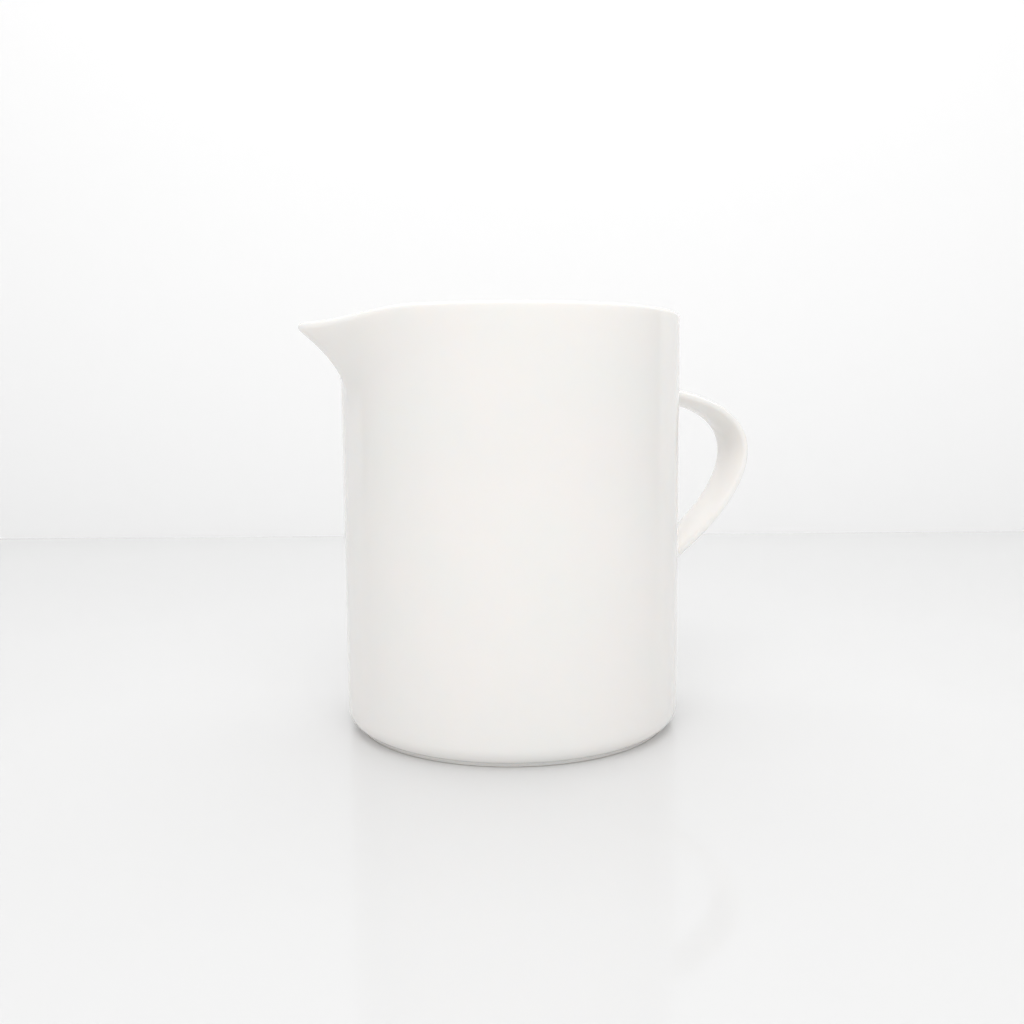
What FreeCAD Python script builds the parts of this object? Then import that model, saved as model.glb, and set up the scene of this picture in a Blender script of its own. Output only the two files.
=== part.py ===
"""A white porcelain milk jug: a straight round body on a low foot, an even
rounded rim drawn out into a small pouring lip, and a flat ear-shaped handle
opposite it.  Cast and fired as one piece, so the model is one solid.

Frame: millimetres, +Z up, the origin at the centre of the foot on the plane
that the jug stands on.  The pouring lip points along -X and the handle
along +X, so the jug is symmetric about the XZ plane.
"""
import FreeCAD, Part
import os
from math import asin, cos, exp, hypot, pi, radians, sin, sqrt

V = FreeCAD.Vector

# ---------------------------------------------------------------- sizes, mm
height = 110.0           # foot to the top of the rim
body_radius = 45.4       # outside of the straight wall
wall = 3.4               # thickness of the straight wall
base = 4.6               # thickness of the bottom, over the recess
corner_radius = 4.6      # outside rounding under the wall
inner_corner = 7.0       # inside rounding between the wall and the bottom

rim = 2.2                # thickness at the rim, which is a half round
rim_taper = 16.0         # height over which the wall thins to the rim

foot_inset = 3.3         # the foot stands in from the wall by this much
foot_height = 0.9        # height of the foot below the rounded corner
foot_width = 3.0         # width of the ring that touches the table
foot_rounding = 0.3      # softening of the ring's two edges
recess_depth = 1.4       # hollow inside the foot ring

spout_depth = 23.2       # height over which the pouring lip leaves the wall
spout_sweep = 16.2       # height of its curved lower part
spout_slope = 1.175      # outward run per height above the curved part
spout_spread = 14.0      # how wide it spreads round the rim, degrees
spout_point = 0.15       # its width where it leaves the wall, of that spread
spout_nose = 3.0         # roundness of its nose, degrees
spout_dip = 3.0          # the nose is this much lower than the rim
spout_dip_angle = 36.0   # the rim starts to dip this far from the nose, degrees

handle_width = 13.5      # of the strap, across the handle's plane
handle_thick = 4.3       # of the strap, in the handle's plane
handle_edge = 1.0        # rounding of the strap's two edges
handle_top = 19.9        # upper end, below the rim
handle_top_reach = 47.2  # how far the upper end aims outward
handle_top_drop = 4.0    # and how far down it aims
handle_low = 38.4        # lower end, above the table
handle_low_reach = 37.0  # how far the lower end aims outward
handle_low_rise = 21.1   # and how far up it aims
handle_root = 3.2        # flare that blends each end into the wall

# ---------------------------------------------------------------- the wall
foot_radius = body_radius - foot_inset
corner_drop = sqrt(corner_radius ** 2 - (corner_radius - foot_inset) ** 2)
corner_top = foot_height + corner_drop      # the straight wall starts here
floor_top = recess_depth + base             # inside bottom
spout_start = height - spout_depth


def thickness(z):
    """Wall thickness at height z: even, then thinning to the rim."""
    share = min(max((z - (height - rim_taper)) / rim_taper, 0.0), 1.0)
    return wall + (rim - wall) * share * share * (3 - 2 * share)


def rim_centre(turn):
    """Height of the centre of the half-round rim at this turn."""
    dip = 0.0
    if abs(turn) < spout_dip_angle:
        dip = spout_dip * cos(radians(90 * turn / spout_dip_angle)) ** 2
    return height - rim / 2 - dip


def spread(turn, z):
    """Share of the nose's outward pull at this many degrees from it.  The
    pouring lip widens from a point low on the wall to the rim."""
    share = (z - spout_start) / (rim_centre(turn) - spout_start)
    turn = turn / (spout_point + (1 - spout_point) * min(share, 1.0))
    return exp((spout_nose - hypot(turn, spout_nose)) / spout_spread)


def moved(turn, z):
    """How far the pouring lip carries the wall outward at height z."""
    rise = max(z - spout_start, 0.0)
    out = min(rise, spout_sweep) ** 2 / (2 * spout_sweep)
    out += max(rise - spout_sweep, 0.0)
    return out * spout_slope * spread(turn, z) if rise else 0.0


def pull(turn, z):
    """How far the wall is carried outward here, and how steeply."""
    step = 0.01
    out = moved(turn, z)
    return out, (out - moved(turn, z - step)) / step


def wall_point(turn, share, side):
    """A point of the wall: share runs 0 to 1 from spout_start to the rim,
    side is 1 on the outside, 0 on the inside, between them across it."""
    slope = pull(turn, rim_centre(turn))[1]
    last = rim_centre(turn) - rim / 2 * slope / hypot(slope, 1)
    z = spout_start + (last - spout_start) * share
    out, slope = pull(turn, z)
    run = hypot(slope, 1)
    depth = (1 - side) * (rim if share == 1 else thickness(z))
    return body_radius + out - depth / run, z + depth * slope / run


def rim_point(turn, angle):
    """A point on the half-round rim, angle 0 outside to 180 inside."""
    r0, z0 = wall_point(turn, 1, 1)
    r1, z1 = wall_point(turn, 1, 0)
    a = radians(angle)
    along, over = (1 - cos(a)) / 2, sin(a) / 2
    return (r0 + (r1 - r0) * along + (z1 - z0) * over,
            z0 + (z1 - z0) * along - (r1 - r0) * over)


def steps(first, last, count):
    """count + 1 even steps from first to last."""
    return [first + (last - first) * i / count for i in range(count + 1)]


def eased(first, last, count):
    """The same, closer together towards both ends."""
    return [first + (last - first) * (1 - cos(pi * i / count)) / 2
            for i in range(count + 1)]


def flat(x, z):
    """A point of the turned profile, in the XZ plane."""
    return V(x, 0, z)


# ---------------------------------------- foot, bottom and straight wall
inside = body_radius - wall
foot_hollow = foot_radius - foot_width
lean = asin((corner_radius - foot_inset) / corner_radius)
middle = (lean + pi / 2) / 2                # halfway round the corner
low = floor_top + inner_corner
outer_arc = [flat(body_radius - corner_radius * (1 - sin(a)),
                  corner_top - corner_radius * cos(a))
             for a in (lean, middle, pi / 2)]
inner_arc = [flat(inside - inner_corner * (1 - cos(a)),
                  low - inner_corner * sin(a))
             for a in (0, pi / 4, pi / 2)]
line = Part.makeLine
profile = Part.Wire([
    line(flat(0, recess_depth), flat(foot_hollow, recess_depth)),
    line(flat(foot_hollow, recess_depth), flat(foot_hollow, 0)),
    line(flat(foot_hollow, 0), flat(foot_radius, 0)),
    line(flat(foot_radius, 0), outer_arc[0]),
    Part.Arc(*outer_arc).toShape(),
    line(outer_arc[2], flat(body_radius, spout_start)),
    line(flat(body_radius, spout_start), flat(inside, spout_start)),
    line(flat(inside, spout_start), inner_arc[0]),
    Part.Arc(*inner_arc).toShape(),
    line(inner_arc[2], flat(0, floor_top)),
    line(flat(0, floor_top), flat(0, recess_depth))])
cup = Part.Face(profile).revolve(V(0, 0, 0), V(0, 0, 1), 360)
cup.rotate(V(0, 0, 0), V(0, 0, 1), 90)      # its seam is clear of the handle
touching = [e for e in cup.Edges if abs(e.BoundBox.ZMax) < 1e-4]
cup = cup.makeFillet(foot_rounding, touching)

# ------------------------------------------------ rim and pouring lip
# Turns round the jug, closer together at the nose where it curves most.  The
# rings start at one side, so that their seam is clear of nose and handle.
half = [60 * (i / 16) ** 1.5 for i in range(17)] + steps(60, 180, 16)[1:]
whole = [-t for t in reversed(half[1:])] + half[:-1]
turns = [t for t in whole if t >= -90] + [t + 360 for t in whole if t < -90]
shares = [1 - (1 - i / 12) ** 1.35 for i in range(13)]


def outline(turn):
    """The wall's upper outline at this turn from the nose, as (radius,
    height) points up the outside, over the rim and down the inside."""
    turn = (turn + 180) % 360 - 180
    return ([wall_point(turn, s, 1) for s in shares]
            + [rim_point(turn, a) for a in steps(0, 180, 6)[1:-1]]
            + [wall_point(turn, s, 0) for s in reversed(shares)])


def smooth(points, at, **more):
    """A smooth curve that passes each point at the given parameter."""
    curve = Part.BSplineCurve()
    curve.interpolate(Points=points, Parameters=at, **more)
    return curve


def skin(columns):
    """A smooth face, closed round the jug, through columns of points that
    stand at the turns: a closed curve through each level, then smooth
    curves across the levels, upright where they meet the straight wall."""
    side = columns[0]
    run = [0.0]
    for (r0, z0), (r1, z1) in zip(side, side[1:]):
        run.append(run[-1] + hypot(r1 - r0, z1 - z0))
    rings = []
    for level in zip(*columns):
        points = [V(r * cos(radians(180 + t)), r * sin(radians(180 + t)), z)
                  for t, (r, z) in zip(turns, level)]
        rings.append(smooth(points, turns + [turns[0] + 360],
                            PeriodicFlag=True))
    ribs = [smooth(list(poles), run, InitialTangent=V(0, 0, 1),
                   FinalTangent=V(0, 0, -1), Scale=False)
            for poles in zip(*(ring.getPoles() for ring in rings))]
    surface = Part.BSplineSurface()
    surface.buildFromPolesMultsKnots(
        [rib.getPoles() for rib in ribs],
        rings[0].getMultiplicities(), ribs[0].getMultiplicities(),
        rings[0].getKnots(), ribs[0].getKnots(), True, False, 3, 3)
    return surface.toShape()


face = skin([outline(t) for t in turns])
seam = sorted((e for e in face.Edges
               if abs(e.BoundBox.ZMax - spout_start) < 1e-6),
              key=lambda e: -e.Length)      # the outer circle, the inner one
under = Part.Face([Part.Wire([e]) for e in seam])
shell = Part.makeCompound([face, under])
shell.sewShape()
vessel = cup.fuse([Part.Solid(shell)], 0.001)

# -------------------------------------------------------------- the handle
root = body_radius - wall / 2               # its ends stop in mid-wall
poles = [V(root, 0, height - handle_top),
         V(root + handle_top_reach, 0, height - handle_top - handle_top_drop),
         V(root + handle_low_reach, 0, handle_low + handle_low_rise),
         V(root, 0, handle_low)]


def path(t):
    """The handle's centre line and its direction, from the upper end at
    t = 0 to the lower end at t = 1, and a little past both."""
    u = 1 - t
    a, b, c, d = poles
    along = ((b - a) * (u * u) + (c - b) * (2 * t * u) + (d - c) * (t * t))
    centre = (a * u ** 3 + b * (3 * t * u * u) + c * (3 * t * t * u)
              + d * t ** 3)
    return centre, along.normalize()


def flare(clear):
    """Extra half size of the strap this far out from the wall."""
    if clear >= handle_root:
        return 0.0
    inward = 1 - max(clear, 0.0) / handle_root
    return handle_root * (1 - sqrt(1 - inward * inward)) * 0.8


def section(t):
    """The strap's cross-section at path parameter t: an oval of four arcs,
    two crowned faces and two rounded edges."""
    centre, along = path(t)
    across, up = V(0, 1, 0), along.cross(V(0, 1, 0))
    extra = flare(centre.x - body_radius)
    far = handle_width / 2 - handle_edge    # centre of an edge's rounding
    deep = handle_thick / 2 - handle_edge
    crown = (far * far / deep + deep) / 2   # from there to a face's centre
    lean = asin(far / crown)
    edge = handle_edge + extra
    w, h = handle_width / 2 + extra, handle_thick / 2 + extra
    y, z = far + edge * sin(lean), edge * cos(lean)

    def at(y, z):
        return centre + across * y + up * z

    return Part.Wire([
        Part.Arc(at(y, z), at(0, h), at(-y, z)).toShape(),
        Part.Arc(at(-y, z), at(-w, 0), at(-y, -z)).toShape(),
        Part.Arc(at(-y, -z), at(0, -h), at(y, -z)).toShape(),
        Part.Arc(at(y, -z), at(w, 0), at(y, z)).toShape()])


stations = eased(-0.06, 1.06, 32)
strap = Part.makeLoft([section(t) for t in stations], True, False)
core = Part.makeCylinder(root, 2 * height, V(0, 0, -height / 2))
jug = vessel.fuse(strap.cut(core))

# ------------------------------------------------------------------ export
solids = jug.Solids
print("solids", len(solids), "valid", jug.isValid(),
      "volume cm3", round(jug.Volume / 1000, 2),
      "box", [round(v, 2) for v in (jug.BoundBox.XMin, jug.BoundBox.XMax,
                                    jug.BoundBox.YMin, jug.BoundBox.YMax,
                                    jug.BoundBox.ZMin, jug.BoundBox.ZMax)])
os.makedirs("parts", exist_ok=True)
solids[0].exportStep("parts/pitcher.step")
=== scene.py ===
# %% [markdown]
# # A white porcelain milk jug
#
# The jug is a straight round cup on a low foot.  Its rim is drawn out into a
# small pouring lip on one side, and a flat ear-shaped handle stands on the
# other.  The real one is cast in a plaster mould as one hollow piece, the
# handle with it, then glazed and fired, so here too it becomes one closed
# mesh, with no line where the handle meets the wall.
#
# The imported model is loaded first.  It is the fixed frame: metres, +Z up,
# the jug standing on z = 0, its pouring lip towards -X and its handle
# towards +X.

# %% Load the frame
from math import asin, atan2, cos, degrees, exp, hypot, pi, radians, sin, sqrt

import bmesh
import bpy
from mathutils import Matrix, Vector


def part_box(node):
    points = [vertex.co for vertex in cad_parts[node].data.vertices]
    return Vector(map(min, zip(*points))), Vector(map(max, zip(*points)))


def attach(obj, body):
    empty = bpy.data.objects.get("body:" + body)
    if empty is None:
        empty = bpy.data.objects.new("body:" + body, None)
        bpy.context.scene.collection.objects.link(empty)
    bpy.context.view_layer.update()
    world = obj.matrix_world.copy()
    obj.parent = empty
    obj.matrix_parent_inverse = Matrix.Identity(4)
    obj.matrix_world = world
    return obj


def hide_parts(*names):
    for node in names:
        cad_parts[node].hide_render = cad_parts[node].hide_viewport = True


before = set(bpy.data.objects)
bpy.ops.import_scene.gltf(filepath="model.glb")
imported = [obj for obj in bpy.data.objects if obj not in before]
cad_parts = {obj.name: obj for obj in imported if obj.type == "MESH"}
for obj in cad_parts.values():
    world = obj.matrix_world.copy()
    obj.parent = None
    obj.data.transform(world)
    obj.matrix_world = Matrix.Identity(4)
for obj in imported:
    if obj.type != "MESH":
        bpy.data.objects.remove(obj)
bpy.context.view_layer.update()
low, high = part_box("pitcher")
print("frame box, mm", [round(v * 1000, 1) for v in (*low, *high)])

# %% [markdown]
# ## Sizes
#
# Every size is the one the solid model was built with, written in metres.
# The jug's height is read from the frame, so the mesh stands in its box.

# %% Sizes of the wall, the foot and the rim
MM = 0.001
TINY = 0.0005 * MM           # points closer than this are the same place
HEIGHT = high.z
BODY = 45.4 * MM             # outside radius of the straight wall
WALL = 3.4 * MM
FLOOR_TOP = 6.0 * MM         # inside bottom
CORNER = 4.6 * MM            # outside rounding under the wall
INNER_CORNER = 7.0 * MM      # inside rounding
FOOT_INSET = 3.3 * MM        # the foot stands in from the wall
FOOT = BODY - FOOT_INSET
FOOT_HEIGHT = 0.9 * MM
FOOT_WIDTH = 3.0 * MM        # the foot is a ring this wide
FOOT_SOFT = 0.3 * MM         # its softened edges
RECESS = 1.4 * MM            # hollow under the bottom, inside the ring
RECESS_RADIUS = FOOT - FOOT_WIDTH
RECESS_SOFT = 1.0 * MM       # glaze rounds the recess's inner corner
WAIST_SOFT = 0.35 * MM       # and the small inner corner above the foot
RIM = 2.2 * MM               # the rim is a half round this thick
TAPER = 16.0 * MM            # the wall thins to the rim over this height
print("wall radius mm", round(BODY / MM, 1), "height mm", round(HEIGHT / MM, 1))

# %% [markdown]
# ## Drawing the wall as a template
#
# A potter shapes a plaster model of the cup with a template, half of its
# outline cut from sheet, while the plaster turns.  The mesh starts the same
# way: one vertex on the axis is extruded along the outline, straight runs in
# even steps and roundings by spinning the last vertex about their centre.
# A ready-made cylinder would give only one thickness and sharp corners.

# %% Start the outline, with helpers that draw it in the XZ plane
def straight(bm, tip, x, z, steps):
    """Draw a straight line from the tip to (x, z) in even steps."""
    start, end = tip.co.copy(), Vector((x, 0, z))
    for i in range(steps):
        tip = bmesh.ops.extrude_vert_indiv(bm, verts=[tip])["verts"][0]
        tip.co = start.lerp(end, (i + 1) / steps)
    return tip


def arc(bm, tip, x, z, angle, steps):
    """Draw an arc from the tip about the centre (x, z), in degrees."""
    made = bmesh.ops.spin(bm, geom=[tip], cent=(x, 0, z), axis=(0, 1, 0),
                          angle=radians(angle), steps=steps, use_merge=False,
                          use_duplicate=False)
    return next(g for g in made["geom_last"]
                if isinstance(g, bmesh.types.BMVert))


jug = bmesh.new()
tip = bmesh.ops.create_vert(jug, co=(0, 0, RECESS))["vert"][0]
print("outline starts at mm", [round(c / MM, 1) for c in tip.co])

# %% [markdown]
# ## Where the handle will grow out of the wall
#
# The handle needs rows of faces at two heights, an opening's height each,
# so those heights are known before the outline is drawn.  The centre line of
# the handle is a Bezier curve with four poles, the usual way to draw a free
# ear shape with few numbers.

# %% The handle's centre line
ROOT = BODY - WALL / 2       # the centre line starts and ends in mid-wall
POLES = [Vector((ROOT, 0, HEIGHT - 19.9 * MM)),
         Vector((ROOT + 47.2 * MM, 0, HEIGHT - 23.9 * MM)),
         Vector((ROOT + 37.0 * MM, 0, 59.5 * MM)),
         Vector((ROOT, 0, 38.4 * MM))]


def handle_path(t):
    """The centre line at t, 0 at the upper end and 1 at the lower, with the
    direction that points out of the ear there."""
    u = 1 - t
    a, b, c, d = POLES
    centre = (a * u ** 3 + b * (3 * t * u * u) + c * (3 * t * t * u)
              + d * t ** 3)
    along = ((b - a) * (u * u) + (c - b) * (2 * t * u)
             + (d - c) * (t * t)).normalized()
    return centre, Vector((-along.z, 0, along.x))


print("middle of the centre line at mm",
      [round(c / MM, 1) for c in handle_path(0.5)[0]])

# %% [markdown]
# The centre line starts inside the wall.  Where it comes out is found by
# trial: a span of the curve is halved again and again, and each time the half
# that holds the wall's surface is kept.

# %% The heights where the handle comes out of the wall
HALVINGS = 40                # enough for every digit that is kept


def way_out(end, inside):
    """Path parameter near an end where inside(t) stops being true."""
    near, far = (-0.15, 0.35) if end == "upper" else (1.15, 0.65)
    for _ in range(HALVINGS):
        half = (near + far) / 2
        if inside(half):
            near = half
        else:
            far = half
    return near


def in_wall(t):
    """Whether the centre line is still inside the wall at t."""
    return handle_path(t)[0].x < BODY


meets = {end: handle_path(way_out(end, in_wall))[0].z
         for end in ("upper", "lower")}
print("handle meets the wall at mm",
      {end: round(z / MM, 1) for end, z in meets.items()})

# %% [markdown]
# ## The outside of the outline
#
# The line runs from the middle of the bottom over the standing ring and the
# rounded corner and up the wall.  On the wall the steps change at the two
# heights of the handle, so that whole rows of faces fit its openings.

# %% Draw the outside
PATCH = 6.6 * MM             # half height of the opening at each end
PATCH_ROWS = 12
corner_z = FOOT_HEIGHT + sqrt(CORNER ** 2 - (CORNER - FOOT_INSET) ** 2)
corner_start = degrees(asin((CORNER - FOOT_INSET) / CORNER))

tip = straight(jug, tip, RECESS_RADIUS - RECESS_SOFT, RECESS, 12)
tip = arc(jug, tip, RECESS_RADIUS - RECESS_SOFT, RECESS - RECESS_SOFT, 90, 5)
tip = straight(jug, tip, RECESS_RADIUS, FOOT_SOFT, 1)
tip = arc(jug, tip, RECESS_RADIUS + FOOT_SOFT, FOOT_SOFT, -90, 3)
tip = straight(jug, tip, FOOT - FOOT_SOFT, 0, 4)
tip = arc(jug, tip, FOOT - FOOT_SOFT, FOOT_SOFT, -90, 3)
waist = straight(jug, tip, FOOT, FOOT_HEIGHT, 1)
tip = arc(jug, waist, BODY - CORNER, corner_z, corner_start - 90, 8)
tip = straight(jug, tip, BODY, meets["lower"] - PATCH, 12)
tip = straight(jug, tip, BODY, meets["lower"] + PATCH, PATCH_ROWS)
tip = straight(jug, tip, BODY, meets["upper"] - PATCH, 20)
tip = straight(jug, tip, BODY, meets["upper"] + PATCH, PATCH_ROWS)
tip = straight(jug, tip, BODY, HEIGHT - RIM / 2, 10)
print("outline so far", len(jug.verts), "points")

# %% [markdown]
# ## The rim and the inside
#
# The wall is even up to its last 16 mm, where it thins smoothly to a rim
# that is a half round.  The glaze fills the small inner corner above the
# foot, so that one corner of the outline is softened with a bevel.

# %% Finish the outline
RIM_ROWS = 20                # short rows under the rim, where the lip bends
RIM_STEP = 1.1 * MM


def thickness(z):
    """Thickness of the wall at height z."""
    share = min(max((z - (HEIGHT - TAPER)) / TAPER, 0), 1)
    return WALL + (RIM - WALL) * share * share * (3 - 2 * share)


tip = arc(jug, tip, BODY - RIM / 2, HEIGHT - RIM / 2, -180, 10)
for i in range(1, RIM_ROWS + 1):
    z = HEIGHT - RIM / 2 - i * RIM_STEP
    tip = straight(jug, tip, BODY - thickness(z), z, 1)
inner_low = FLOOR_TOP + INNER_CORNER
tip = straight(jug, tip, BODY - WALL, inner_low, 30)
tip = arc(jug, tip, BODY - WALL - INNER_CORNER, inner_low, 90, 10)
tip = straight(jug, tip, 0, FLOOR_TOP, 12)
bmesh.ops.bevel(jug, geom=[waist], offset=WAIST_SOFT, offset_type="OFFSET",
                segments=3, profile=0.5, affect="VERTICES", material=-1)
print("outline", len(jug.verts), "points", len(jug.edges), "edges")

# %% [markdown]
# ## Turning it
#
# Spinning the outline round Z gives the plain cup.  The first and last
# outlines are merged, and so are the points on the axis, which closes the
# seam and both poles.

# %% Turn the outline into the plain cup
COLUMNS = 240
bmesh.ops.spin(jug, geom=jug.verts[:] + jug.edges[:], cent=(0, 0, 0),
               axis=(0, 0, 1), angle=2 * pi, steps=COLUMNS, use_merge=True,
               use_duplicate=False)
bmesh.ops.remove_doubles(jug, verts=jug.verts[:], dist=TINY)
bmesh.ops.recalc_face_normals(jug, faces=jug.faces[:])
print("plain cup", len(jug.verts), "vertices", len(jug.faces), "faces")

# %% [markdown]
# ## Opening the wall for the handle
#
# A handle stuck through the wall would show a hard line.  Instead two
# patches of faces are taken out of the wall, and later the handle's own
# faces are extruded from the edges of those openings, so the surface runs on
# without a break, as the cast clay does.  Each edge vertex remembers its
# place on the opening, from -1 to 1 across and up, in a layer that extruding
# copies to the new vertices.

# %% Take out the two patches
ACROSS = 9                   # columns of faces on each side of the middle
PATCH_ANGLE = ACROSS * 2 * pi / COLUMNS
place = jug.verts.layers.float_vector.new("place")
rings = {}


def in_patch(face, z):
    """Whether a face is of the outer wall, within the opening at height z."""
    middle = face.calc_center_median()
    return (middle.xy.length > BODY - WALL / 2 and abs(middle.z - z) < PATCH
            and abs(atan2(middle.y, middle.x)) < PATCH_ANGLE)


for end, z in meets.items():
    patch = [f for f in jug.faces if in_patch(f, z)]
    bmesh.ops.delete(jug, geom=patch, context="FACES")
    edge = [e for e in jug.edges if e.is_boundary
            and all(abs(v.co.z - z) < PATCH + TINY for v in e.verts)]
    for v in {v for e in edge for v in e.verts}:
        v[place] = (atan2(v.co.y, v.co.x) / PATCH_ANGLE,
                    (v.co.z - z) / PATCH * (1 if end == "upper" else -1), 0)
    rings[end] = edge
    print(end, "opening", len(patch), "faces out,", len(edge), "edges")

# %% [markdown]
# ## The pouring lip
#
# On the real model the lip is pressed out of the rim before the mould is
# made.  The mesh is pressed the same way: each vertex of the upper wall
# moves outward by an amount that grows up the wall and fades round it, and
# the nose dips a little.  Moving finished rows keeps the wall's thickness
# and the round rim, which sculpting by hand would not.

# %% Sizes of the pouring lip, and the dip of its rim
LIP_START = HEIGHT - 23.2 * MM
LIP_SWEEP = 16.2 * MM        # height of its curved lower part
LIP_SLOPE = 1.175            # outward run per height above that
LIP_SPREAD = 14.0            # degrees, at the rim
LIP_POINT = 0.15             # width at its start, as a share of that
LIP_NOSE = 3.0               # degrees over which the nose is rounded
LIP_DIP = 3.0 * MM
LIP_DIP_ANGLE = 36.0         # degrees


def rim_height(turn):
    """Height of the middle of the rounded rim at this turn."""
    dip = 0.0
    if abs(turn) < LIP_DIP_ANGLE:
        dip = LIP_DIP * cos(radians(90 * turn / LIP_DIP_ANGLE)) ** 2
    return HEIGHT - RIM / 2 - dip


print("rim dips to mm", round((rim_height(0) + RIM / 2) / MM, 1))

# %% [markdown]
# Seen from the side, the nose leaves the wall in a curve and then runs on
# straight.  Seen from above, the push fades to both sides of the nose.  Low on
# the wall it fades at once, so the lip starts as a narrow keel, and the higher
# up, the wider it opens.

# %% How far the wall is pushed out
def spread(turn, z):
    """Share of the nose's outward pull at this many degrees from it."""
    share = min((z - LIP_START) / (rim_height(turn) - LIP_START), 1.0)
    turn /= LIP_POINT + (1 - LIP_POINT) * share
    return exp((LIP_NOSE - hypot(turn, LIP_NOSE)) / LIP_SPREAD)


def pushed(turn, z):
    """How far the wall is pressed outward at this turn and height."""
    rise = z - LIP_START
    if rise <= 0:
        return 0.0
    bent = min(rise, LIP_SWEEP)
    run = bent * bent / (2 * LIP_SWEEP) + rise - bent
    return run * LIP_SLOPE * spread(turn, z)


print("nose pressed out mm", round(pushed(0, rim_height(0)) / MM, 1))

# %% [markdown]
# The pressed wall leans outward, so its inner side is set off square to the
# lean, not level, and the wall keeps its thickness.  The rounded rim is then
# carried along on the two edges below it.

# %% How one point of the wall is pressed
def pull(turn, z):
    """Outward push at this turn and height, with how steeply it leans."""
    step = 0.01 * MM
    out = pushed(turn, z)
    return out, (out - pushed(turn, z - step)) / step


def pressed(turn, share, side):
    """Place of a wall point: share runs up from 0 to 1, side is 1 on the
    outside and 0 on the inside."""
    slope = pull(turn, rim_height(turn))[1]
    top = rim_height(turn) - RIM / 2 * slope / hypot(slope, 1)
    z = LIP_START + (top - LIP_START) * share
    out, slope = pull(turn, z)
    run = hypot(slope, 1)
    # over the last twentieth the wall becomes exactly as thick as the rim
    thick = RIM + (thickness(z) - RIM) * min(1, (1 - share) * 20)
    depth = (1 - side) * thick
    return BODY + out - depth / run, z + depth * slope / run


print("outer edge of the nose, radius and height mm",
      [round(v / MM, 1) for v in pressed(0, 1, 1)])

# %% [markdown]
# The columns of faces are even round the plain cup.  The nose bends far more
# sharply than the rest, so the columns are drawn together towards it first.

# %% Press the lip out of the plain cup
STRAIGHT_TOP = HEIGHT - RIM / 2
CROWDING = 0.6               # how much closer the columns are at the nose
CROWD_WIDTH = 40             # degrees


def crowd(turn):
    """Turn of a column once the columns are drawn towards the nose."""
    return turn * (1 - CROWDING * exp(-(turn / CROWD_WIDTH) ** 2))


for v in jug.verts:
    radius = v.co.xy.length
    if radius < TINY:
        continue
    turn = crowd(degrees(atan2(-v.co.y, -v.co.x)))
    z = v.co.z
    if LIP_START < z <= STRAIGHT_TOP + TINY:
        share = (z - LIP_START) / (STRAIGHT_TOP - LIP_START)
        side = 1 - (BODY - radius) / thickness(z)
        radius, z = pressed(turn, share, side)
    elif z > LIP_START:
        a = atan2(z - STRAIGHT_TOP, radius - (BODY - RIM / 2))
        r0, z0 = pressed(turn, 1, 1)
        r1, z1 = pressed(turn, 1, 0)
        along, over = (1 - cos(a)) / 2, sin(a) / 2
        radius = r0 + (r1 - r0) * along + (z1 - z0) * over
        z = z0 + (z1 - z0) * along - (r1 - r0) * over
    v.co = (-radius * cos(radians(turn)), -radius * sin(radians(turn)), z)
print("lip pressed, nose at mm", round(min(v.co.x for v in jug.verts) / MM, 2))

# %% [markdown]
# ## The handle
#
# The handle is a flat strap, about 13 mm wide and 4 mm thick, oval like a
# bar of soap: two low crowned faces with small round edges.  Each end
# spreads into the wall in a small fillet.  A solid swept along the curve
# would be quicker but needs a join, so the strap is extruded ring by ring
# from both openings until the two halves meet halfway and are welded.

# %% Sizes of the strap
STRAP_WIDE = 13.5 * MM / 2   # half its width
STRAP_THICK = 4.3 * MM / 2   # half its thickness
STRAP_EDGE = 1.0 * MM        # radius of its two edges
FAR = STRAP_WIDE - STRAP_EDGE
DEEP = STRAP_THICK - STRAP_EDGE
CROWN = (FAR ** 2 / DEEP + DEEP) / 2     # radius of a face, less the edge's
LEAN = asin(FAR / CROWN)     # tilt of the face where an edge begins
print("faces curve at a radius of mm", round((CROWN + STRAP_EDGE) / MM, 1))

# %% [markdown]
# The openings in the wall are rectangles and the strap is an oval, so each
# place on an opening's edge is given its own point of the oval.  The level
# sides become the two faces, and the upright sides become the round edges.

# %% The strap's cross-section
EDGE_SHARE = pi / 4          # tilt that the opening's upright sides take up
ON_SIDE = 1e-4               # this near to 1 is on an upright side


def section(u, v):
    """Point of the strap's oval outline for a place on the opening, as
    (across, out), with the outline's own outward direction there."""
    across, over = (1 if u > 0 else -1), (1 if v > 0 else -1)
    if abs(abs(u) - 1) < ON_SIDE:
        tilt = pi / 2 - abs(v) * EDGE_SHARE
    else:
        y = sin(abs(u) * pi / 2) * (FAR + STRAP_EDGE * sin(EDGE_SHARE))
        if y > FAR + STRAP_EDGE * sin(LEAN):
            tilt = asin((y - FAR) / STRAP_EDGE)
        else:
            tilt = asin(y / (CROWN + STRAP_EDGE))
    way = Vector((across * sin(tilt), over * cos(tilt)))
    if tilt < LEAN:
        crown_centre = Vector((0, over * (DEEP - CROWN)))
        return crown_centre + way * (CROWN + STRAP_EDGE), way
    return Vector((across * FAR, 0)) + way * STRAP_EDGE, way


def on_strap(t, point):
    """The point of the cross-section at path parameter t."""
    centre, out = handle_path(t)
    return centre + Vector((0, point.x, 0)) + out * point.y


print("strap mm", round(2 * section(1, 0)[0].x / MM, 1), "wide",
      round(2 * section(0, 1)[0].y / MM, 1), "thick")

# %% [markdown]
# The fillet is a quarter round that touches the wall on one side and the
# strap on the other.  Its centre differs all round the strap, because the
# wall is curved and the strap meets it at a slant, so each point is found
# from where its own line along the strap comes clear of the wall.

# %% The fillet between wall and strap
FILLET = 2.6 * MM


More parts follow.
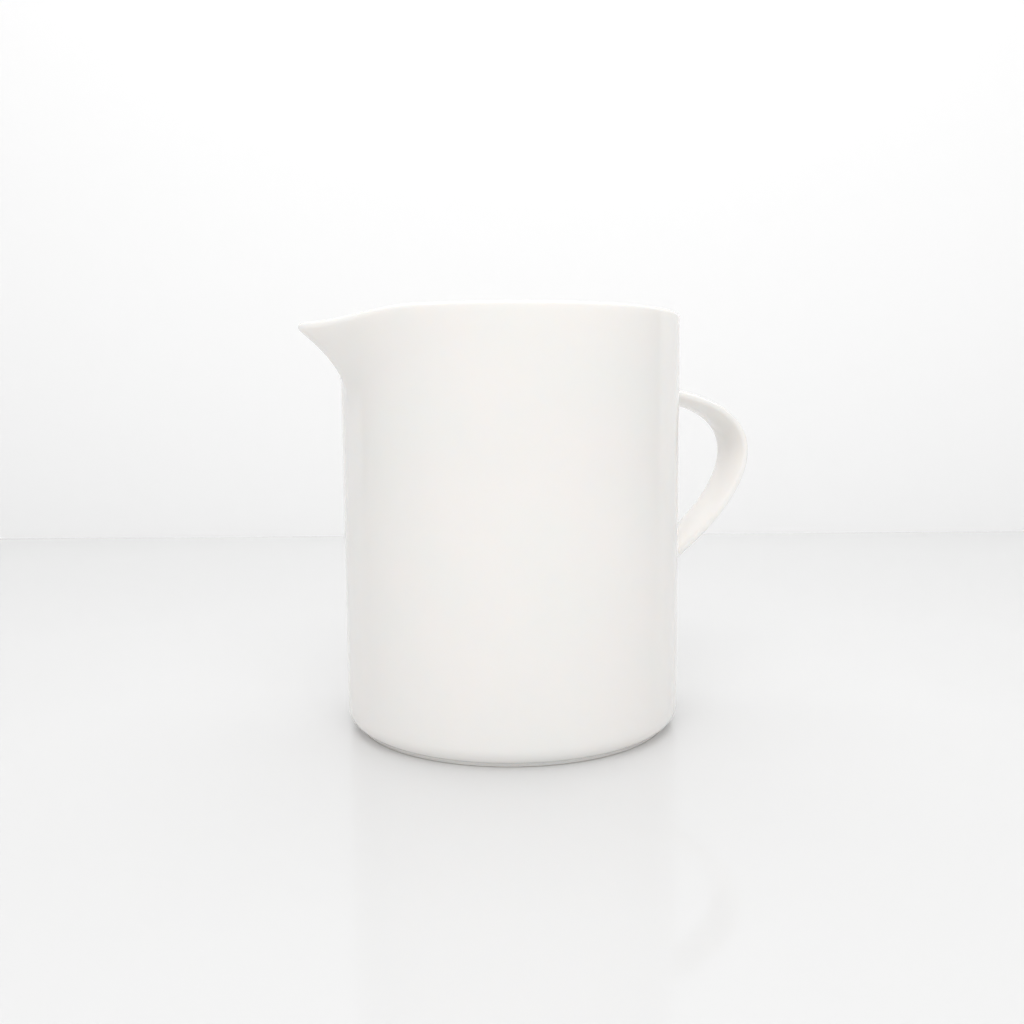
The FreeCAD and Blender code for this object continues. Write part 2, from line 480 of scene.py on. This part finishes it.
def leaves(point, clear, end):
    """Path parameter where this line of the strap is this far clear of the
    wall."""
    return way_out(end, lambda t: on_strap(t, point).xy.length - BODY < clear)


def fillet_point(place, turn, end):
    """Point of the fillet: turn 0 lies on the wall and 90 on the strap."""
    point, way = section(place.x, place.y)
    clear = FILLET * (1 - cos(radians(turn)))
    t = leaves(point, clear, end)
    spot = on_strap(t, point)
    out = handle_path(t)[1]
    face = Vector((spot.x, spot.y, 0)).normalized()
    side = Vector((0, way.x, 0)) + out * way.y
    side = (side - face * side.dot(face)).normalized()
    spot += side * FILLET * (1 - sin(radians(turn)))
    flat = spot.xy.normalized() * (BODY + clear)
    return Vector((flat.x, flat.y, spot.z))


fillet_top = fillet_point(Vector((0, 1, 0)), 0, "upper").z
print("the upper fillet ends at mm", round(fillet_top / MM, 1))

# %% [markdown]
# Extruding a ring of edges gives each vertex a copy, and the copy takes over
# the place that the first one remembers, so one rule can put every ring.

# %% Extrude it from both openings and weld the halves
FILLET_TURNS = range(0, 91, 15)
STATIONS = 30                # rings from each fillet to the middle
WELD = 0.01 * MM


def next_ring(edges, spot):
    """Extrude a ring of edges and put each new vertex where spot says."""
    made = bmesh.ops.extrude_edge_only(jug, edges=edges)["geom"]
    for v in (g for g in made if isinstance(g, bmesh.types.BMVert)):
        v.co = spot(v[place])
    return [g for g in made if isinstance(g, bmesh.types.BMEdge)
            and all(w in made for w in g.verts)]


def strap_point(place, share, end):
    """Point of the strap, share 0 at the fillet and 1 at the middle."""
    point = section(place.x, place.y)[0]
    start = leaves(point, FILLET, end)
    return on_strap(start * (1 - share) + 0.5 * share, point)


for end, ring in rings.items():
    for turn in FILLET_TURNS:
        ring = next_ring(ring, lambda p: fillet_point(p, turn, end))
    for i in range(1, STATIONS + 1):
        ring = next_ring(ring, lambda p: strap_point(p, i / STATIONS, end))
    rings[end] = ring
halves = {v for ring in rings.values() for e in ring for v in e.verts}
bmesh.ops.remove_doubles(jug, verts=list(halves), dist=WELD)
bmesh.ops.recalc_face_normals(jug, faces=jug.faces[:])
print("handle on,", len(jug.faces), "faces, open edges",
      sum(1 for e in jug.edges if not e.is_manifold))

# %% [markdown]
# ## Glaze and bare porcelain
#
# Everything is glazed but the ring that stands in the kiln: glaze there
# would stick the jug to the shelf, so it is wiped off, and the ring stays
# matt.  One small function adds a node with its settings and its links, and
# one turns a colour as a designer writes it, in sRGB, into the linear values
# that shaders use.

# %% Helpers for materials
def linear(hex_colour):
    """Linear RGBA of an sRGB hex colour."""
    parts = [int(hex_colour[i:i + 2], 16) / 255 for i in (1, 3, 5)]
    return [p / 12.92 if p <= 0.04045 else ((p + 0.055) / 1.055) ** 2.4
            for p in parts] + [1.0]


def node(tree, kind, links=(), **settings):
    """Add a node, give it its settings and link its inputs."""
    made = tree.nodes.new(kind)
    for name, value in settings.items():
        if hasattr(made, name):
            setattr(made, name, value)
        else:
            made.inputs[name.replace("_", " ")].default_value = value
    for name, source in dict(links).items():
        tree.links.new(source, made.inputs[name])
    return made


def new_material(name):
    """A material with an empty node tree, and that tree."""
    made = bpy.data.materials.new(name)
    made.use_nodes = True
    made.node_tree.nodes.clear()
    return made, made.node_tree


print("a mid grey, #808080, is", round(linear("#808080")[0], 3), "in linear")

# %% [markdown]
# Hard porcelain is cast, bisque fired, dipped in a clear glaze and fired
# again near 1400 degrees C.  To the eye it is a slightly warm white with a
# smooth even gloss, never quite flat: the glaze is about 0.2 mm thick and
# lies in slow waves a centimetre or two across, with a faint finer ripple,
# and it is a trace cooler where it has pooled.  A little of the light enters
# the white body and comes out again near by, which softens its shades.

# %% The glazed porcelain
glazed, tree = new_material("glazed_porcelain")
coords = node(tree, "ShaderNodeTexCoord").outputs["Object"]
pooled = node(tree, "ShaderNodeTexNoise", {"Vector": coords},
              Scale=1 / (18 * MM), Detail=2.0, Roughness=0.5)
colour = node(tree, "ShaderNodeValToRGB", {"Fac": pooled.outputs["Fac"]})
thick_glaze, thin_glaze = colour.color_ramp.elements
thick_glaze.position, thick_glaze.color = 0.35, linear("#f5f4f1")
thin_glaze.position, thin_glaze.color = 0.65, linear("#f8f4f1")
waves = node(tree, "ShaderNodeTexNoise", {"Vector": coords},
             Scale=1 / (14 * MM), Detail=1.0, Roughness=0.4)
ripple = node(tree, "ShaderNodeTexNoise", {"Vector": coords},
              Scale=1 / (1.6 * MM), Detail=2.0, Roughness=0.5)
slow = node(tree, "ShaderNodeBump", {"Height": waves.outputs["Fac"]},
            Strength=1.0, Distance=0.05 * MM)
fine = node(tree, "ShaderNodeBump", {"Height": ripple.outputs["Fac"],
                                     "Normal": slow.outputs["Normal"]},
            Strength=1.0, Distance=0.0015 * MM)
gloss = node(tree, "ShaderNodeMapRange", {"Value": ripple.outputs["Fac"]},
             To_Min=0.06, To_Max=0.10)
shader = node(tree, "ShaderNodeBsdfPrincipled",
              {"Base Color": colour.outputs["Color"],
               "Roughness": gloss.outputs["Result"],
               "Normal": fine.outputs["Normal"]}, IOR=1.52,
              Subsurface_Weight=0.5, Subsurface_Scale=1.5 * MM,
              Subsurface_Radius=(1.0, 0.9, 0.8))
node(tree, "ShaderNodeOutputMaterial", {"Surface": shader.outputs["BSDF"]})
print(glazed.name, len(tree.nodes), "nodes")

# %% [markdown]
# Fired without glaze, porcelain is a fine matt stone, a little darker and
# warmer.  Its real grain is too fine to see, so it is drawn a few tenths of a
# millimetre across, as coarse as it needs to be to show.

# %% The bare porcelain of the foot ring
bare, tree = new_material("bare_porcelain")
coords = node(tree, "ShaderNodeTexCoord").outputs["Object"]
grain = node(tree, "ShaderNodeTexNoise", {"Vector": coords},
             Scale=1 / (0.4 * MM), Detail=3.0, Roughness=0.6)
colour = node(tree, "ShaderNodeValToRGB", {"Fac": grain.outputs["Fac"]})
worn, clean = colour.color_ramp.elements
worn.position, worn.color = 0.3, linear("#d9d4ca")
clean.position, clean.color = 0.7, linear("#e8e4dc")
rough = node(tree, "ShaderNodeBump", {"Height": grain.outputs["Fac"]},
             Strength=1.0, Distance=0.02 * MM)
shader = node(tree, "ShaderNodeBsdfPrincipled",
              {"Base Color": colour.outputs["Color"],
               "Normal": rough.outputs["Normal"]}, Roughness=0.75, IOR=1.5)
node(tree, "ShaderNodeOutputMaterial", {"Surface": shader.outputs["BSDF"]})
print(bare.name, len(tree.nodes), "nodes")

# %% [markdown]
# ## The finished piece
#
# The mesh becomes one object at the origin.  It rides on the jug's only
# body and replaces the plain solid of the frame, and the faces of the
# standing ring take the bare finish.

# %% Make the object
BARE_HEIGHT = 0.12 * MM      # the glaze is wiped off up to here
jug.verts.layers.float_vector.remove(place)
for f in jug.faces:
    f.smooth = True
    middle = f.calc_center_median()
    f.material_index = int(middle.z < BARE_HEIGHT
                           and middle.xy.length > RECESS_RADIUS)
mesh = bpy.data.meshes.new("jug")
jug.to_mesh(mesh)
jug.free()
piece = bpy.data.objects.new("jug", mesh)
bpy.context.collection.objects.link(piece)
piece.data.materials.append(glazed)
piece.data.materials.append(bare)
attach(piece, "root")
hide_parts("pitcher")
print(piece.name, len(mesh.polygons), "faces, bare:",
      sum(p.material_index for p in mesh.polygons))

# %% [markdown]
# ## Camera
#
# The camera stands off the pouring lip's side at three quarters of the jug's
# height.  That is below the rim, so the inside stays hidden, and near enough
# that the foot curves plainly while the rim is almost a straight line.

# %% Place the camera
EYE = Vector((-0.1199, -0.2485, 0.0852))
AHEAD = Vector((0.4352, 0.9003, 0))      # level, the way the camera faces
LOOK_DOWN = 5.781            # degrees
ROLL = 0.407                 # degrees, clockwise
camera = bpy.data.objects.new("camera", bpy.data.cameras.new("camera"))
bpy.context.collection.objects.link(camera)
camera.data.sensor_width = 36
camera.data.lens = 35.37
camera.location = EYE
level = AHEAD.to_track_quat("-Z", "Y").to_matrix()
camera.rotation_euler = (level @ Matrix.Rotation(radians(-LOOK_DOWN), 3, "X")
                         @ Matrix.Rotation(radians(-ROLL), 3, "Z")).to_euler()
camera.data.clip_start, camera.data.clip_end = 0.01, 20
bpy.context.scene.camera = camera
print("camera", [round(v, 3) for v in camera.location])

# %% [markdown]
# ## Table and backdrop
#
# A pale polished sheet carries the jug, and a pale matt wall stands behind
# it, close enough that the line where they meet shows beside the jug.

# %% Helpers for the set
def stage_sheet(name, centre, across, up, material):
    """A flat sheet of the set, given its centre and its two half sides."""
    sheet = bmesh.new()
    bmesh.ops.create_grid(sheet, x_segments=1, y_segments=1, size=1)
    for v in sheet.verts:
        v.co = centre + across * v.co.x + up * v.co.y
    data = bpy.data.meshes.new(name)
    sheet.to_mesh(data)
    sheet.free()
    made = bpy.data.objects.new(name, data)
    bpy.context.collection.objects.link(made)
    made.data.materials.append(material)
    return made


def plain_material(name, hex_colour, roughness):
    """A plain painted or laminated sheet."""
    made, tree = new_material(name)
    shader = node(tree, "ShaderNodeBsdfPrincipled", Roughness=roughness,
                  Base_Color=linear(hex_colour))
    node(tree, "ShaderNodeOutputMaterial", {"Surface": shader.outputs["BSDF"]})
    return made


laminate = plain_material("table", "#e6e6e6", 0.06)
paint = plain_material("backdrop", "#fdfdfd", 0.9)
print("materials of the set", [m.name for m in (laminate, paint)])

# %% [markdown]
# Both sheets are placed from the camera, square to the way it faces, so the
# line where they meet is level in the view.

# %% The table and the wall behind it
SIDEWAYS = Vector((AHEAD.y, -AHEAD.x, 0))
UP = Vector((0, 0, 1))
WALL_AWAY = 0.685            # metres from the camera to the wall
SHEET_HALF = 0.9             # half the table's sides and the wall's width
WALL_HALF = 0.6              # half the wall's height
wall_foot = Vector((EYE.x, EYE.y, 0)) + AHEAD * WALL_AWAY
table_sheet = stage_sheet("table", wall_foot - AHEAD * SHEET_HALF,
                          SIDEWAYS * SHEET_HALF, AHEAD * SHEET_HALF, laminate)
back_sheet = stage_sheet("backdrop", wall_foot + UP * WALL_HALF,
                         SIDEWAYS * SHEET_HALF, UP * WALL_HALF, paint)
print("stage", [o.name for o in (table_sheet, back_sheet)])

# %% [markdown]
# ## Light
#
# White ware is lit from all round with large soft boxes, so that its sides
# are only a little darker than its front: one overhead, a key above the
# camera, and low wide ones in front and at both sides.  Their square images
# would lie on the gloss as stripes, so the glaze mirrors only the overhead
# one.  A lamp is given how bright its panel is, and its power follows from
# the panel's area, so a panel can change size and keep its look.

# %% A soft lamp, and the one overhead
def lamp(name, place, aim, width, height, glow, mirrored=False):
    """A soft lamp at a place, aimed at a point, this bright all over."""
    data = bpy.data.lights.new(name, "AREA")
    data.shape = "RECTANGLE"
    data.size, data.size_y = width, height
    data.energy = glow * pi * width * height
    made = bpy.data.objects.new(name, data)
    bpy.context.collection.objects.link(made)
    made.visible_glossy = mirrored
    made.location = place
    made.rotation_euler = (aim - place).to_track_quat("-Z", "Y").to_euler()
    return made


lamps = [lamp("overhead", AHEAD * 0.05 + UP * 0.75, UP * 0, 0.8, 0.8, 1.0,
              mirrored=True)]
print("overhead lamp, watts", round(lamps[0].data.energy, 2))

# %% [markdown]
# The key lights the table and the front of the jug from above the camera.
# The wide front lamp fills the wall evenly, and the two side lamps are weak,
# so that both sides of the wall fall off a little.  The even grey of the world
# stands for the room and keeps the shadow on the table pale.

# %% The other lamps and the world
LAMP_AWAY = 0.9              # metres from the jug to the low lamps
chest = UP * 0.45            # height of the low lamps' middles
lamps += [
    lamp("key", UP * 0.9 - AHEAD * 0.75, UP * 0.05, 1.0, 0.5, 2.5),
    lamp("front", chest - AHEAD * LAMP_AWAY, chest, 2.4, 0.9, 0.65),
    lamp("left", chest - SIDEWAYS * LAMP_AWAY, chest, 0.9, 0.9, 0.25),
    lamp("right", chest + SIDEWAYS * LAMP_AWAY, chest, 0.9, 0.9, 0.38)]
ALL_ROUND = 0.4              # brightness of the empty room
world = bpy.data.worlds.new("world")
bpy.context.scene.world = world
world.use_nodes = True
world.node_tree.nodes["Background"].inputs["Color"].default_value = (
    ALL_ROUND, ALL_ROUND, ALL_ROUND, 1)
bpy.context.scene.view_settings.view_transform = "Standard"
print("lamps, watts", {o.name: round(o.data.energy, 2) for o in lamps})
